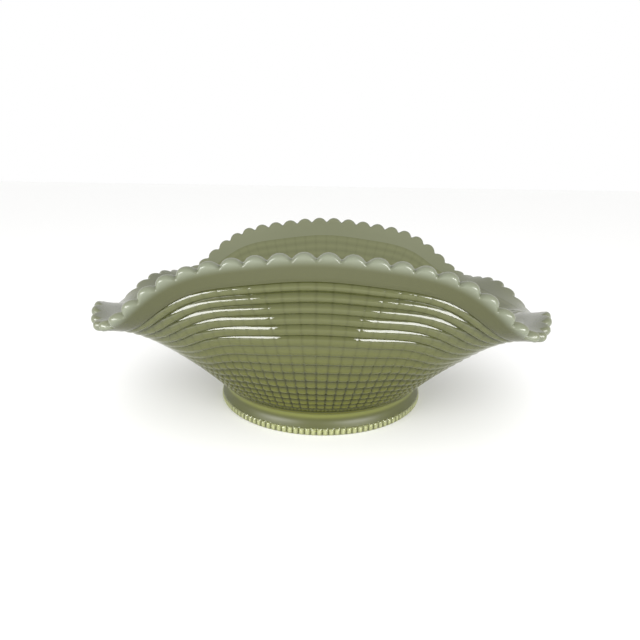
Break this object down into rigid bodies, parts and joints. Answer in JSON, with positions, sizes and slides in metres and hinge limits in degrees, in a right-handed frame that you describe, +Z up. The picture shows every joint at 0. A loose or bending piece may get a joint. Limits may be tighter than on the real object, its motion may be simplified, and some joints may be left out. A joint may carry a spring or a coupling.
{
  "type": "pressed glass dish",
  "caption": "Oval footed dish in yellow-green uranium glass with raised sides, drawn-out wavy ends, a brick-like relief and a milky scalloped rim.",
  "frame": {"origin": "centre of the foot, on the plane that the foot stands on", "axes": "+X along the dish from end to end, +Y across it towards a raised side, +Z up"},
  "size_m": [0.2208, 0.1466, 0.0851],
  "materials": {
    "foot_glass": "clear pressed uranium glass, thick, fire polished",
    "bowl_glass": "translucent pressed uranium glass with a raised brick relief",
    "opal_glass": "milky opalescent uranium glass, fire polished"
  },
  "bodies": {
    "root": {"foot_bead_ring": "foot_glass", "foot_collar": "foot_glass", "bowl_floor": "bowl_glass", "lower_wall": "bowl_glass", "upper_wall": "bowl_glass", "rim_band": "opal_glass", "rim_scallops": "opal_glass"}
  },
  "joints": []
}
